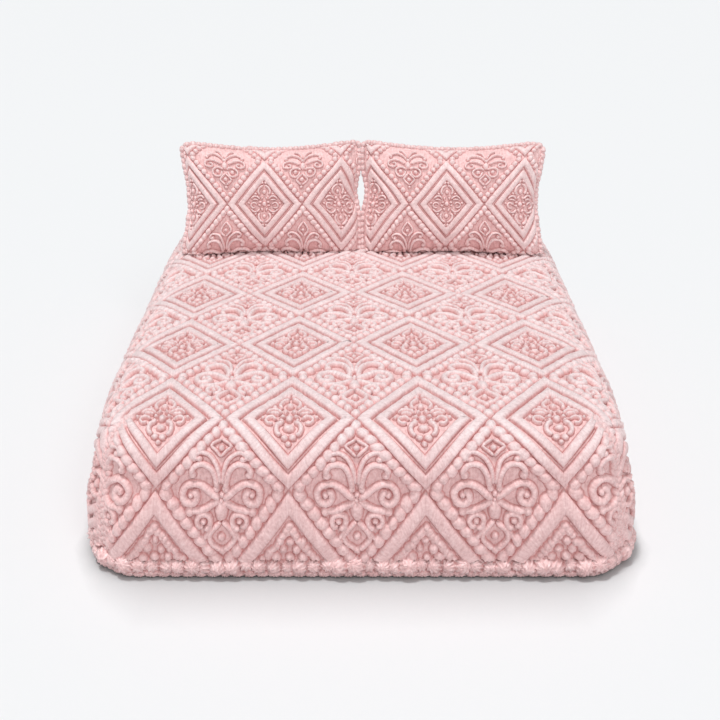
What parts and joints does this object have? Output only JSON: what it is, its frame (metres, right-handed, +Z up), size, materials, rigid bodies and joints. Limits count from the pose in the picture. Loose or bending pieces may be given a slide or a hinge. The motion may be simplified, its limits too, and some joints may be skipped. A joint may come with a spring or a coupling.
{
  "type": "fitted sheet set with pillows on a mattress",
  "caption": "Fitted sheet of carved plush pulled over a mattress down to a tufted edging at the floor, with matching upright pillows that have beaded edging.",
  "frame": {"origin": "on the floor under the middle of the mattress", "axes": "+Y from the foot of the bed to its head, +Z up"},
  "size_m": [1.5822, 2.0828, 0.8742],
  "materials": {
    "carved_plush": "matt carved plush with a soft pile",
    "tufted_edging": "matt fluffy tufts",
    "beaded_edging": "matt fluffy beads",
    "ticking": "matt woven ticking"
  },
  "bodies": {
    "root": {"mattress": "ticking", "fitted_sheet": "carved_plush", "foot_edging": "tufted_edging", "pillow_left": "carved_plush", "pillow_left_edging": "beaded_edging", "pillow_right": "carved_plush", "pillow_right_edging": "beaded_edging"}
  },
  "joints": []
}
